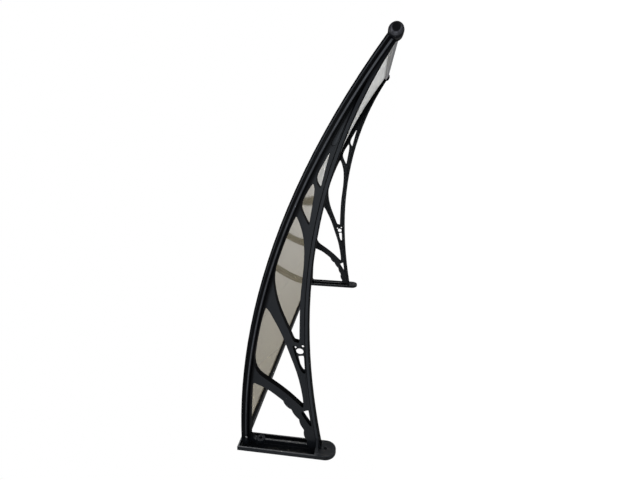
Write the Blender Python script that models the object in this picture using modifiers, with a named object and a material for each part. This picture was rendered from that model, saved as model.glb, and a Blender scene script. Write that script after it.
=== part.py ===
"""Polycarbonate door canopy: a curved clear sheet held between two moulded brackets.

The origin lies in the wall plane, at mid-width, where the middle of the sheet's thickness would
meet the wall. The wall is the plane y = 0, the canopy reaches out to -Y, and +Z is up.
A place on the curve is given by its station, the distance out from the wall along the middle of
the sheet, and its height, measured outward from there along the arc's radius.
"""

import math

import bmesh
import bpy
from mathutils import Matrix, Vector

# Driving dimensions, in metres
PITCH = 0.800  # between the middle planes of the two brackets
ARC_RADIUS = 1.2445  # to the middle of the sheet's thickness
TIP_STATION = 0.797  # from the wall to the axis of the front bar
GAP = 0.0003  # between pieces that touch

SHEET_THICKNESS = 0.003
STRIP_THICKNESS = 0.0037
STRIP_INSET = 0.0015  # from the chord's side to the strip's
STRIP_SCREWS = 5

CHORD_HALF_WIDTH = 0.012
CHORD_DEPTH = 0.0067  # from the ledge under the sheet down to the chord's lower edge
CHORD_EDGE = 0.0006  # chamfer along the chord's edges
BEAD_HEIGHT = 0.0014  # how far the bead stands out from the chord's side
BEAD_WIDTH = 0.0034
BEAD_DROP = 0.0032  # from the ledge down to the middle of the bead

WEB_THICKNESS = 0.012
WEB_EDGE = 0.0012
BAND_THICKNESS = 0.016  # of the raised band along the underside
BAND_HEIGHT = 0.0075
PANEL_RECESS = 0.0022  # how deep the panel near the tip is sunk into each side
THIN_RECESS = 0.0048  # the same around the small holes, which leaves a thin floor
UNDERSIDE_DEPTHS = (0.1552, 0.1131, 0.0259, 0.0098)  # below the sheet: control depths, wall to tip

PLATE_OUTER = 0.0245  # the wall plate's reach from the bracket's middle plane, away from the sheet
PLATE_INNER = 0.0175
PLATE_DEPTH = 0.009
PLATE_TOP = 0.010
PLATE_LENGTH = 0.192
PLATE_FLOOR = 0.0035
PLATE_RIM = 0.003
PLATE_PAD = 0.040  # solid length at the rounded lower end
RIB_THICKNESS = 0.0044
RIB_DEPTH = 0.012
RIB_END_DEPTH = 0.0081  # of the rib's ends, just under the plate's face
BOSS_RADIUS = 0.009
BOSS_DEPTH = 0.0138
BOSS_DROP = 0.041  # from the plate's top to the boss's axis
WALL_HOLE_RADIUS = 0.0030
WALL_HOLE_CHAMFER = 0.0006
FOOT_FLARE = 0.010
FOOT_FLARE_HEIGHT = 0.030
FOOT_FLARE_THICKNESS = 0.005
GUSSET = 0.016

TIP_HEIGHT = -0.0025  # of the front bar's axis, from the middle of the sheet
TIP_RADIUS = 0.0112
EAR_OUTER = 0.0125  # the ear's reach from the bracket's middle plane, away from the sheet
EAR_INNER = 0.0085
BAR_HEIGHT = 0.011
BAR_BACK = 0.0075  # from the bar's axis to its face towards the wall
BAR_FRONT = 0.0042
BAR_SLOT_DEPTH = 0.0046
CAP_WALL = 0.002
CAP_SKIRT = 0.0030
CAP_DOME = 0.0065
CAP_FACE_RADIUS = 0.0035
CAP_BOSS_HEIGHT = 0.0028

RAIL_BACK = 0.012  # the rear rail's distance from the wall
RAIL_WIDTH = 0.015
RAIL_THICKNESS = 0.006
RAIL_SLOT_DEPTH = 0.008
RAIL_GROOVE_DEPTH = 0.003
RAIL_LUG_LENGTH = 0.010
RAIL_LUG_WIDTH = 0.008
RAIL_SCREW_PLACE = 0.0125  # from the rail's back to the screw's axis
RAIL_SCREW_DROP = 0.0045  # from the ledge down to the screw's axis
SEAL_LIP = 0.002  # thickness of the rubber lip
SEAL_FACE = 0.006  # height of the rubber's face on the wall
SEAL_FOOT = 0.003

SCREW_RADIUS = 0.0018
SCREW_HEAD_RADIUS = 0.0034
SCREW_HEAD_HEIGHT = 0.0022
STRIP_SCREW_LENGTH = 0.010
BAR_SCREW_GRIP = 0.009  # length of the bar's screw inside the bar
RAIL_SCREW_GRIP = 0.007
RAIL_SCREW_RADIUS = 0.0014
RAIL_SCREW_HEAD_RADIUS = 0.0024
RAIL_SCREW_HEAD_HEIGHT = 0.0015

ARC_STEPS = 24
ROUND_STEPS = 20
SCREW_STEPS = 10

# Outlines of the web's openings: station as a share of the tip's, share of the web's height
# from the chord down to the underside, and softness of the corner
CROWN_OPENING = [
    (0.766, 0.345, 0.5), (0.737, 0.255, 1.0), (0.706, 0.20, 1.0), (0.695, 0.43, 0.8),
    (0.691, 0.625, 0.4), (0.712, 0.57, 1.0), (0.740, 0.455, 1.0),
]  # fmt: skip
LENS_OPENING = [
    (0.694, 0.20, 0.6), (0.667, 0.10, 1.0), (0.640, 0.08, 1.0), (0.626, 0.28, 1.0),
    (0.608, 0.63, 0.4), (0.640, 0.56, 1.0), (0.684, 0.40, 1.0),
]  # fmt: skip
LONG_OPENING = [
    (0.617, 0.08, 0.4), (0.580, 0.03, 1.0), (0.520, 0.02, 1.0), (0.475, 0.02, 1.0),
    (0.442, 0.13, 1.0), (0.400, 0.32, 1.0), (0.352, 0.59, 1.0), (0.325, 0.705, 0.35),
    (0.325, 0.815, 0.35), (0.390, 0.80, 1.0), (0.450, 0.77, 1.0), (0.520, 0.76, 0.9),
    (0.575, 0.60, 0.9), (0.602, 0.33, 1.0),
]  # fmt: skip
WIDE_OPENING = [
    (0.396, 0.05, 0.5), (0.350, 0.01, 1.0), (0.300, 0.01, 1.0), (0.250, 0.00, 1.0),
    (0.215, 0.08, 1.0), (0.198, 0.32, 1.0), (0.172, 0.60, 1.0), (0.137, 0.83, 0.3),
    (0.170, 0.84, 1.0), (0.235, 0.78, 1.0), (0.290, 0.63, 1.0), (0.340, 0.45, 1.0),
]  # fmt: skip
SLOT_OPENING = [
    (0.284, 0.785, 0.3), (0.289, 0.888, 0.3), (0.250, 0.895, 0.4), (0.248, 0.865, 0.4),
    (0.255, 0.830, 1.0),
]  # fmt: skip
CORNER_OPENING = [(0.122, 0.802, 0.3), (0.131, 0.893, 0.3), (0.089, 0.901, 0.3)]
FOOT_OPENING = [
    (0.150, 0.52, 0.0), (0.177, 0.27, 1.0), (0.187, 0.02, 0.4), (0.095, 0.02, 1.0),
    (0.000, 0.02, 0.0),
]  # fmt: skip
FOOT_SCALLOPS = [(0.000, 0.835), (0.080, 0.79), (0.112, 0.715), (0.150, 0.52)]
SCALLOPS = 5
SCALLOP_DEPTH = 0.0030
OVAL_HOLE = (0.298, 0.815)
OVAL_RADII = (0.0062, 0.0070)
DOT_HOLES = [(0.306, 0.728), (0.314, 0.872)]
DOT_RADIUS = 0.0024
PANEL_POCKET = [
    (0.885, 0.10, 0.3), (0.780, 0.10, 0.5), (0.775, 0.30, 0.5), (0.780, 0.52, 0.5),
    (0.830, 0.42, 1.0),
]  # fmt: skip
HEEL_POCKET = [
    (0.228, 0.05, 0.2), (0.218, 0.19, 1.0), (0.210, 0.31, 0.4), (0.216, 0.31, 0.4),
    (0.226, 0.19, 1.0), (0.244, 0.10, 1.0), (0.268, 0.05, 0.3),
]  # fmt: skip
HOLES_POCKET = [
    (0.313, 0.68, 0.4), (0.316, 0.78, 1.0), (0.323, 0.85, 1.0), (0.322, 0.912, 0.3),
    (0.290, 0.915, 1.0), (0.246, 0.920, 0.5), (0.242, 0.880, 0.8), (0.252, 0.822, 1.0),
    (0.280, 0.760, 1.0),
]  # fmt: skip
CORNER_POCKET = [
    (0.123, 0.780, 0.4), (0.135, 0.912, 0.3), (0.084, 0.922, 0.4), (0.084, 0.893, 0.8),
]  # fmt: skip

# Sizes that follow from them
SHEET_TOP = SHEET_THICKNESS / 2
STRIP_BOTTOM = SHEET_TOP + GAP
STRIP_TOP = STRIP_BOTTOM + STRIP_THICKNESS
STRIP_HALF_WIDTH = CHORD_HALF_WIDTH - STRIP_INSET
LEDGE = -SHEET_TOP - GAP
CHORD_BOTTOM = LEDGE - CHORD_DEPTH
SCREW_CLEARANCE = SCREW_RADIUS + GAP
RAIL_SCREW_CLEARANCE = RAIL_SCREW_RADIUS + GAP
BRACKET_X = -PITCH / 2
BAR_FACE_STATION = TIP_STATION - BAR_BACK
SHEET_FRONT = BAR_FACE_STATION + BAR_SLOT_DEPTH - GAP
SHEET_REAR = RAIL_BACK + RAIL_WIDTH - RAIL_SLOT_DEPTH + GAP
STRIP_FRONT = TIP_STATION - TIP_RADIUS - GAP
MEMBER_FRONT = BAR_FACE_STATION - 2 * GAP
STRIP_REAR = PLATE_DEPTH + GAP

# World axes of outlines drawn in the (y, z), (x, y) and (x, z) planes
SIDE_VIEW = Matrix(((0, 0, 1, 0), (1, 0, 0, 0), (0, 1, 0, 0), (0, 0, 0, 1)))
TOP_VIEW = Matrix.Identity(4)
FRONT_VIEW = Matrix(((1, 0, 0, 0), (0, 0, -1, 0), (0, 1, 0, 0), (0, 0, 0, 1)))


def clear_scene():
    for old in list(bpy.data.objects):
        bpy.data.objects.remove(old, do_unlink=True)


def new_collection(name):
    collection = bpy.data.collections.new(name)
    bpy.context.scene.collection.children.link(collection)
    return collection


def principled(name, colour, roughness, metallic=0.0, transmission=0.0):
    material = bpy.data.materials.new(name)
    material.use_nodes = True
    shader = material.node_tree.nodes["Principled BSDF"]
    shader.inputs["Base Color"].default_value = (*colour, 1.0)
    shader.inputs["Roughness"].default_value = roughness
    shader.inputs["Metallic"].default_value = metallic
    shader.inputs["Transmission Weight"].default_value = transmission
    return material


def on_arc(station, height):
    """(y, z) of a place on the curve."""
    angle = station / ARC_RADIUS
    radius = ARC_RADIUS + height
    return (-radius * math.sin(angle), radius * math.cos(angle) - ARC_RADIUS)


def arc_band(start, end, low, high):
    """Closed outline between two stations and two heights."""
    stations = stations_between(start, end)
    upper = [on_arc(station, high) for station in stations]
    lower = [on_arc(station, low) for station in reversed(stations)]
    return upper + lower


def stations_between(start, end):
    return [start + (end - start) * step / ARC_STEPS for step in range(ARC_STEPS + 1)]


def underside(station):
    """Height of the bracket's underside: a cubic steered by its control depths."""
    share = station / TIP_STATION
    rest = 1 - share
    first, second, third, last = UNDERSIDE_DEPTHS
    return -(
        first * rest**3
        + 3 * second * share * rest**2
        + 3 * third * share**2 * rest
        + last * share**3
    )


def on_web(share_out, share_down):
    """(y, z) of a place on the web, between the chord's lower edge and the underside."""
    station = share_out * TIP_STATION
    height = CHORD_BOTTOM + share_down * (underside(station) - CHORD_BOTTOM)
    return on_arc(station, height)


def soften(corners, steps=3):
    """Round a closed run of (y, z, softness): at softness 1 neighbouring curves meet halfway."""
    outline = []
    for index, (y, z, softness) in enumerate(corners):
        here = Vector((y, z))
        before = Vector(corners[index - 1][:2])
        after = Vector(corners[(index + 1) % len(corners)][:2])
        start = here.lerp(before, softness / 2)
        end = here.lerp(after, softness / 2)
        if softness == 0:
            outline.append(tuple(here))
            continue
        for step in range(steps):
            share = step / steps if softness == 1 else step / (steps - 1)
            outline.append(tuple(start.lerp(here, share).lerp(here.lerp(end, share), share)))
    return outline


def web_opening(corners):
    return soften([(*on_web(out, down), softness) for out, down, softness in corners])


def scalloped_side(shares, steps_each=4):
    """The strut's lower edge near the wall: a run of shallow bumps that reach into the opening."""
    points = [Vector(on_web(*place)) for place in shares]
    lengths = [(after - before).length for before, after in zip(points, points[1:])]
    total = sum(lengths)
    side = []
    for step in range(SCALLOPS * steps_each + 1):
        along = total * step / (SCALLOPS * steps_each)
        index = 0
        while index < len(lengths) - 1 and along > lengths[index]:
            along -= lengths[index]
            index += 1
        start, end = points[index], points[index + 1]
        direction = (end - start).normalized()
        into_opening = Vector((direction.y, -direction.x))
        bump = SCALLOP_DEPTH * abs(math.sin(math.pi * step / steps_each))
        side.append(tuple(start + direction * along + into_opening * bump))
    return side


def foot_notch():
    """The opening beside the wall, from the strut's foot round to the chord's, open at the wall."""
    smooth = web_opening(FOOT_OPENING)
    side = scalloped_side(FOOT_SCALLOPS)
    start = [(-PLATE_FLOOR, side[0][1])]
    end = [(-PLATE_FLOOR, smooth[-1][1])]
    past_flare = [point for point in side[:-1] if point[0] < -PLATE_DEPTH - FOOT_FLARE_THICKNESS]
    return start + past_flare + smooth[:-1] + end


def oval(centre, radius_out, radius_down, steps):
    """Ellipse with its axes along the arc and across it."""
    out, down = centre
    middle = Vector(on_web(out, down))
    angle = out * TIP_STATION / ARC_RADIUS
    along = Vector((-math.cos(angle), -math.sin(angle)))
    across = Vector((math.sin(angle), -math.cos(angle)))
    turns = [2 * math.pi * step / steps for step in range(steps)]
    return [
        tuple(middle + along * radius_out * math.cos(turn) + across * radius_down * math.sin(turn))
        for turn in turns
    ]


def add_to(collection, obj, material=None):
    collection.objects.link(obj)
    if material:
        obj.data.materials.append(material)
    else:
        obj.hide_render = True
        obj.display_type = "WIRE"
    return obj


def outline_solid(name, loops, start, end, view=SIDE_VIEW, chamfer=0.0):
    """A flat outline with its holes, extruded from start to end and made a welded mesh."""
    curve = bpy.data.curves.new(name, "CURVE")
    curve.dimensions = "2D"
    curve.fill_mode = "BOTH"
    curve.extrude = (end - start) / 2 - chamfer
    curve.bevel_depth = chamfer
    curve.bevel_resolution = 0
    curve.offset = -chamfer
    for loop in loops:
        spline = curve.splines.new("POLY")
        spline.points.add(len(loop) - 1)
        for point, (across, up) in zip(spline.points, loop):
            point.co = (across, up, 0, 1)
        spline.use_cyclic_u = True
    guide = bpy.data.objects.new(name + "_outline", curve)
    bpy.context.scene.collection.objects.link(guide)
    guide.matrix_world = view @ Matrix.Translation((0, 0, (start + end) / 2))
    solid = as_mesh(guide, name)
    bpy.data.objects.remove(guide, do_unlink=True)
    return solid


def swept(name, section, start, end):
    """A section of (x, height) points carried along the arc between two stations, with its ends closed."""
    edit = bmesh.new()
    corners = [edit.verts.new((x, *on_arc(start, height))) for x, height in section]
    edit.faces.new(corners)
    bmesh.ops.spin(
        edit,
        geom=edit.verts[:] + edit.edges[:] + edit.faces[:],
        cent=(0, 0, -ARC_RADIUS),
        axis=(1, 0, 0),
        angle=(end - start) / ARC_RADIUS,
        steps=ARC_STEPS,
    )
    bmesh.ops.recalc_face_normals(edit, faces=edit.faces)
    mesh = bpy.data.meshes.new(name)
    edit.to_mesh(mesh)
    edit.free()
    return bpy.data.objects.new(name, mesh)


def as_mesh(source, name):
    """A plain mesh object of what the source evaluates to, with its caps welded."""
    graph = bpy.context.evaluated_depsgraph_get()
    mesh = bpy.data.meshes.new_from_object(source.evaluated_get(graph))
    edit = bmesh.new()
    edit.from_mesh(mesh)
    bmesh.ops.remove_doubles(edit, verts=edit.verts, dist=1e-6)
    bmesh.ops.recalc_face_normals(edit, faces=edit.faces)
    edit.to_mesh(mesh)
    edit.free()
    solid = bpy.data.objects.new(name, mesh)
    solid.matrix_world = source.matrix_world.copy()
    return solid


def turned(name, profile, steps=SCREW_STEPS):
    """A solid turned about its own Z from (radius, height) points that run from the top down."""
    mesh = bpy.data.meshes.new(name)
    points = [(radius, 0, height) for radius, height in profile]
    mesh.from_pydata(points, [(i, i + 1) for i in range(len(points) - 1)], [])
    solid = bpy.data.objects.new(name, mesh)
    screw = solid.modifiers.new("Turn", "SCREW")
    screw.axis = "Z"
    screw.steps = steps
    screw.render_steps = steps
    screw.use_merge_vertices = True
    screw.merge_threshold = 0.00001
    return solid


def cylinder_profile(radius, top, bottom):
    return [(0, top), (radius, top), (radius, bottom), (0, bottom)]


def screw_profile(length, radius, head, height, steps=3):
    """Domed head above z = 0, shank below it."""
    turns = [math.pi / 2 * step / steps for step in range(1, steps + 1)]
    dome = [(head * math.sin(turn), height * math.cos(turn)) for turn in turns]
    return [(0, height)] + dome + [(radius, 0), (radius, -length), (0, -length)]


def countersunk_profile(length, clearance=0.0, lift=0.0):
    """Flat head with its face at z = 0, or a cutter for it, which reaches lift above the face."""
    head = SCREW_HEAD_RADIUS + clearance
    shank = SCREW_RADIUS + clearance
    cone = head - shank
    side = [(head, lift), (head, 0)] if lift else [(head, 0)]
    end = -length - clearance
    return [(0, lift)] + side + [(shank, -cone), (shank, end), (0, end)]


def outward_at(station, height, x):
    """Placement with local Z along the arc's outward normal."""
    y, z = on_arc(station, height)
    return Matrix.Translation((x, y, z)) @ Matrix.Rotation(station / ARC_RADIUS, 4, "X")


def sideways_at(x, y, z):
    """Placement with local Z towards -X, out of the left bracket."""
    return Matrix.Translation((x, y, z)) @ Matrix.Rotation(-math.pi / 2, 4, "Y")


def frontways_at(x, y, z):
    """Placement with local Z towards -Y, away from the wall."""
    return Matrix.Translation((x, y, z)) @ Matrix.Rotation(math.pi / 2, 4, "X")


def boolean(target, operation, collection):
    modifier = target.modifiers.new(operation.title(), "BOOLEAN")
    modifier.operation = operation
    modifier.operand_type = "COLLECTION"
    modifier.collection = collection
    modifier.solver = "EXACT"


def soften_shading(obj, angle_degrees=35):
    obj.data.shade_smooth()
    obj.data.set_sharp_from_angle(angle=math.radians(angle_degrees))


def mirrored(source, name):
    """The same piece for the other side, with its own mesh and its faces turned back outward."""
    twin = as_mesh(source, name)
    twin.data.transform(Matrix.Scale(-1, 4, (1, 0, 0)) @ twin.matrix_world)
    twin.matrix_world = Matrix.Identity(4)
    edit = bmesh.new()
    edit.from_mesh(twin.data)
    bmesh.ops.recalc_face_normals(edit, faces=edit.faces)
    edit.to_mesh(twin.data)
    edit.free()
    return twin


def both_sides(parts, name, left, material):
    """Add the left piece and its mirror image."""
    left.name = name + "_left"
    add_to(parts, left, material)
    soften_shading(left)
    bpy.context.view_layer.update()
    right = mirrored(left, name + "_right")
    parts.objects.link(right)
    soften_shading(right)


def strip_screw_stations():
    """Evenly spaced, half a space in from each end of the strip."""
    space = (STRIP_FRONT - STRIP_REAR) / STRIP_SCREWS
    return [STRIP_REAR + space * (index + 0.5) for index in range(STRIP_SCREWS)]


def strip_screw_x():
    """Midway between the sheet's edge and the strip's outer edge."""
    return BRACKET_X - STRIP_HALF_WIDTH / 2


def bar_outline(margin=0.0, slot=True):
    """The front bar's section, with the slot that takes the sheet's front edge."""
    top = TIP_HEIGHT + BAR_HEIGHT / 2 + margin
    bottom = TIP_HEIGHT - BAR_HEIGHT / 2 - margin
    back = BAR_FACE_STATION - margin
    front = TIP_STATION + BAR_FRONT + margin
    outer = [(back, top), (front, top), (front, bottom), (back, bottom)]
    if not slot:
        return [on_arc(*corner) for corner in outer]
    slot_end = BAR_FACE_STATION + BAR_SLOT_DEPTH
    slot_side = SHEET_TOP + GAP
    cut = [(back, -slot_side), (slot_end, -slot_side), (slot_end, slot_side), (back, slot_side)]
    return [on_arc(*corner) for corner in outer + cut]


def plate_outline():
    """The wall plate seen from the front: square at the top, a half round at the bottom."""
    low, high = BRACKET_X - PLATE_OUTER, BRACKET_X + PLATE_INNER
    radius = (high - low) / 2
    middle = (low + high) / 2
    centre_z = PLATE_TOP - PLATE_LENGTH + radius
    turns = [math.pi * step / ROUND_STEPS for step in range(ROUND_STEPS + 1)]
    bottom = [(middle - radius * math.cos(t), centre_z - radius * math.sin(t)) for t in turns]
    return bottom + [(high, PLATE_TOP), (low, PLATE_TOP)]


def build_wall_plate(additions, cuts):
    """Tray with a rim, a middle rib, a boss for the upper wall screw and a solid lower end."""
    plate = outline_solid(
        "wall_plate", [plate_outline()], 0, PLATE_DEPTH, view=FRONT_VIEW, chamfer=CHORD_EDGE
    )
    low, high = BRACKET_X - PLATE_OUTER, BRACKET_X + PLATE_INNER
    top = PLATE_TOP - PLATE_RIM
    bottom = PLATE_TOP - PLATE_LENGTH + PLATE_PAD
    left, right = low + PLATE_RIM, high - PLATE_RIM
    corners = [(left, bottom), (right, bottom), (right, top), (left, top)]
    pocket = new_collection("Canopy plate pocket")
    tray = outline_solid("tray", [corners], PLATE_FLOOR, 2 * PLATE_DEPTH, view=FRONT_VIEW)
    add_to(pocket, tray)
    boolean(plate, "DIFFERENCE", pocket)
    add_to(additions, plate)

    boss_z = PLATE_TOP - BOSS_DROP
    boss = turned(
        "wall_boss", cylinder_profile(BOSS_RADIUS, BOSS_DEPTH, PLATE_FLOOR / 2), ROUND_STEPS
    )
    boss.matrix_world = frontways_at(BRACKET_X, 0, boss_z)
    add_to(additions, boss)
    sunk = -PLATE_FLOOR / 2
    spine = [
        (sunk, top + PLATE_RIM / 2), (-RIB_END_DEPTH, top + PLATE_RIM / 2),
        (-RIB_END_DEPTH, boss_z), (-RIB_DEPTH, boss_z), (-RIB_DEPTH, bottom),
        (-RIB_END_DEPTH, bottom - RIB_THICKNESS), (sunk, bottom - RIB_THICKNESS),
    ]  # fmt: skip
    half = RIB_THICKNESS / 2
    add_to(additions, outline_solid("plate_rib", [spine], BRACKET_X - half, BRACKET_X + half))

    lobe_z = PLATE_TOP - PLATE_LENGTH + (high - low) / 2
    hole = WALL_HOLE_RADIUS
    flare = hole + WALL_HOLE_CHAMFER
    for name, x, z, depth in (
        ("upper", BRACKET_X, boss_z, BOSS_DEPTH),
        ("lower", (low + high) / 2, lobe_z, PLATE_DEPTH),
    ):
        profile = [
            (0, depth + hole), (flare, depth + hole), (flare, depth),
            (hole, depth - WALL_HOLE_CHAMFER), (hole, -hole), (0, -hole),
        ]  # fmt: skip
        cutter = turned(name + "_wall_hole", profile, ROUND_STEPS)
        cutter.matrix_world = frontways_at(x, 0, z)
        add_to(cuts, cutter)


def build_chord(additions, cuts):
    """The curved upper member with its bead; the seat for the sheet is cut along its inner side."""
    outer, inner = BRACKET_X - CHORD_HALF_WIDTH, BRACKET_X + CHORD_HALF_WIDTH
    edge = CHORD_EDGE
    section = [
        (outer + edge, SHEET_TOP), (inner, SHEET_TOP), (inner, CHORD_BOTTOM + edge),
        (inner - edge, CHORD_BOTTOM), (outer + edge, CHORD_BOTTOM), (outer, CHORD_BOTTOM + edge),
        (outer, SHEET_TOP - edge),
    ]  # fmt: skip
    add_to(additions, swept("chord", section, PLATE_FLOOR, MEMBER_FRONT))
    bead = LEDGE - BEAD_DROP
    section = [
        (outer + edge, bead + BEAD_WIDTH / 2), (outer + edge, bead - BEAD_WIDTH / 2),
        (outer, bead - BEAD_WIDTH / 2), (outer - BEAD_HEIGHT, bead - BEAD_WIDTH / 4),
        (outer - BEAD_HEIGHT, bead + BEAD_WIDTH / 4), (outer, bead + BEAD_WIDTH / 2),
    ]  # fmt: skip
    add_to(additions, swept("bead", section, PLATE_FLOOR, TIP_STATION - TIP_RADIUS - 2 * GAP))
    seat = [
        (BRACKET_X - GAP, LEDGE), (BRACKET_X + 2 * CHORD_HALF_WIDTH, LEDGE),
        (BRACKET_X + 2 * CHORD_HALF_WIDTH, STRIP_BOTTOM), (BRACKET_X - GAP, STRIP_BOTTOM),
    ]  # fmt: skip
    add_to(cuts, swept("sheet_seat", seat, SHEET_REAR - 2 * GAP, SHEET_FRONT + GAP))


def build_web():
    """The pierced web from the wall plate to the tip."""
    half = WEB_THICKNESS / 2
    stations = stations_between(PLATE_FLOOR, MEMBER_FRONT)
    upper = [on_arc(station, (LEDGE + CHORD_BOTTOM) / 2) for station in stations]
    lower = [on_arc(station, underside(station) + BAND_HEIGHT / 2) for station in reversed(stations)]
    holes = [
        web_opening(CROWN_OPENING),
        web_opening(LENS_OPENING),
        web_opening(LONG_OPENING),
        web_opening(WIDE_OPENING),
        web_opening(SLOT_OPENING),
        web_opening(CORNER_OPENING),
        oval(OVAL_HOLE, *OVAL_RADII, 14),
    ] + [oval(centre, DOT_RADIUS, DOT_RADIUS, 8) for centre in DOT_HOLES]
    return outline_solid(
        "bracket_left",
        [upper + lower + foot_notch()] + holes,
        BRACKET_X - half,
        BRACKET_X + half,
    )


def build_underside(additions):
    """The raised band along the underside, flared where it lands on the wall plate."""
    half = BAND_THICKNESS / 2
    stations = stations_between(PLATE_FLOOR, MEMBER_FRONT)
    lower = [on_arc(station, underside(station)) for station in stations]
    upper = [on_arc(station, underside(station) + BAND_HEIGHT) for station in reversed(stations)]
    band = outline_solid(
        "underside_band", [lower + upper], BRACKET_X - half, BRACKET_X + half, chamfer=WEB_EDGE
    )
    add_to(additions, band)
    side = BRACKET_X - half
    flare = [
        (side - FOOT_FLARE, -PLATE_FLOOR / 2),
        (side - FOOT_FLARE, -PLATE_DEPTH),
        (side + WEB_EDGE, -PLATE_DEPTH - FOOT_FLARE_HEIGHT),
        (BRACKET_X, -PLATE_DEPTH - FOOT_FLARE_HEIGHT),
        (BRACKET_X, -PLATE_FLOOR / 2),
    ]
    foot_z = on_arc(PLATE_DEPTH, underside(PLATE_DEPTH) + BAND_HEIGHT)[1]
    half = FOOT_FLARE_THICKNESS / 2
    add_to(
        additions, outline_solid("foot_flare", [flare], foot_z - half, foot_z + half, view=TOP_VIEW)
    )


def build_tip(additions, cuts):
    """The round ear that carries the front bar, with the boss that the cap grips."""
    y, z = on_arc(TIP_STATION, TIP_HEIGHT)
    outer_face = BRACKET_X - EAR_OUTER
    ear = turned("tip_ear", cylinder_profile(TIP_RADIUS, 0, -EAR_OUTER - EAR_INNER), ROUND_STEPS)
    ear.matrix_world = sideways_at(outer_face, y, z)
    boss_radius = TIP_RADIUS - CAP_WALL - GAP
    profile = cylinder_profile(boss_radius, CAP_BOSS_HEIGHT, -CAP_BOSS_HEIGHT)
    boss = turned("cap_boss", profile, ROUND_STEPS)
    boss.matrix_world = sideways_at(outer_face, y, z)
    for piece in (ear, boss):
        add_to(additions, piece)

    recess = SCREW_HEAD_RADIUS + GAP
    end = 2 * EAR_OUTER
    profile = [
        (0, CAP_BOSS_HEIGHT * 2), (recess, CAP_BOSS_HEIGHT * 2), (recess, 0),
        (SCREW_CLEARANCE, 0), (SCREW_CLEARANCE, -end), (0, -end),
    ]  # fmt: skip
    hole = turned("bar_screw_hole", profile)
    hole.matrix_world = sideways_at(outer_face, y, z)
    seat = outline_solid(
        "bar_seat",
        [bar_outline(margin=GAP, slot=False)],
        BRACKET_X - GAP,
        BRACKET_X + 2 * CHORD_HALF_WIDTH,
    )
    for cutter in (hole, seat):
        add_to(cuts, cutter)


def build_gusset(additions):
    """Triangle that stiffens the corner between the chord and the wall plate."""
    half = WEB_THICKNESS / 2 - WEB_EDGE
    corner_y, corner_z = on_arc(PLATE_DEPTH, CHORD_BOTTOM)
    inside_y, inside_z = corner_y + PLATE_FLOOR, corner_z + CHORD_DEPTH / 2
    gusset = [
        (inside_y, inside_z), (corner_y - GUSSET, inside_z), (corner_y - GUSSET, corner_z),
        (corner_y, corner_z - GUSSET), (inside_y, corner_z - GUSSET),
    ]  # fmt: skip
    add_to(additions, outline_solid("gusset", [gusset], BRACKET_X - half, BRACKET_X + half))


def build_recesses(cuts):
    """Sunk areas, alike on both sides of the web."""
    half = WEB_THICKNESS / 2
    for name, corners, depth in (
        ("panel", PANEL_POCKET, PANEL_RECESS),
        ("heel", HEEL_POCKET, PANEL_RECESS),
        ("holes", HOLES_POCKET, THIN_RECESS),
        ("corner", CORNER_POCKET, THIN_RECESS),
    ):
        outline = web_opening(corners)
        for side in (-1, 1):
            ends = sorted((BRACKET_X + side * (half - depth), BRACKET_X + side * 2 * half))
            add_to(cuts, outline_solid(f"{name}_recess_{side}", [outline], *ends))


def build_screw_holes(cuts):
    """Holes for the strip's screws and for the rear rail's screw."""
    for index, station in enumerate(strip_screw_stations()):
        profile = cylinder_profile(SCREW_CLEARANCE, 2 * STRIP_THICKNESS, -STRIP_SCREW_LENGTH)
        pilot = turned(f"strip_pilot_{index + 1}", profile)
        pilot.matrix_world = outward_at(station, STRIP_TOP, strip_screw_x())
        add_to(cuts, pilot)
    profile = cylinder_profile(RAIL_SCREW_CLEARANCE, BEAD_HEIGHT * 4, -4 * CHORD_HALF_WIDTH)
    hole = turned("rail_screw_hole", profile)
    hole.matrix_world = sideways_at(BRACKET_X - CHORD_HALF_WIDTH, *rail_screw_place())
    add_to(cuts, hole)


def build_bracket(parts, black):
    additions = new_collection("Canopy bracket members")
    cuts = new_collection("Canopy bracket cutters")
    bracket = build_web()
    build_wall_plate(additions, cuts)
    build_chord(additions, cuts)
    build_underside(additions)
    build_gusset(additions)
    build_tip(additions, cuts)
    build_recesses(cuts)
    build_screw_holes(cuts)
    boolean(bracket, "UNION", additions)
    boolean(bracket, "DIFFERENCE", cuts)
    both_sides(parts, "bracket", bracket, black)


def build_cover_strips(parts, black):
    """The curved strip that clamps the sheet's edge, held by flat-headed screws."""
    strip = outline_solid(
        "cover_strip_left",
        [arc_band(STRIP_REAR, STRIP_FRONT + TIP_RADIUS / 2, STRIP_BOTTOM, STRIP_TOP)],
        BRACKET_X - STRIP_HALF_WIDTH,
        BRACKET_X + STRIP_HALF_WIDTH,
        chamfer=CHORD_EDGE,
    )
    holes = new_collection("Canopy strip cutters")
    for index, station in enumerate(strip_screw_stations()):
        profile = countersunk_profile(STRIP_SCREW_LENGTH, clearance=GAP, lift=STRIP_THICKNESS)
        hole = turned(f"strip_hole_{index + 1}", profile)
        hole.matrix_world = outward_at(station, STRIP_TOP, strip_screw_x())
        add_to(holes, hole)
    reach = 2 * CHORD_HALF_WIDTH
    ear = turned("ear_clearance", cylinder_profile(TIP_RADIUS + GAP, reach, -reach), ROUND_STEPS)
    ear.matrix_world = sideways_at(BRACKET_X, *on_arc(TIP_STATION, TIP_HEIGHT))
    add_to(holes, ear)
    boolean(strip, "DIFFERENCE", holes)
    both_sides(parts, "cover_strip", strip, black)


def build_strip_screws(parts, steel):
    for index, station in enumerate(strip_screw_stations()):
        screw = turned("strip_screw", countersunk_profile(STRIP_SCREW_LENGTH - GAP))
        screw.matrix_world = outward_at(station, STRIP_TOP, strip_screw_x())
        both_sides(parts, f"strip_screw_{index + 1}", screw, steel)


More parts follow.
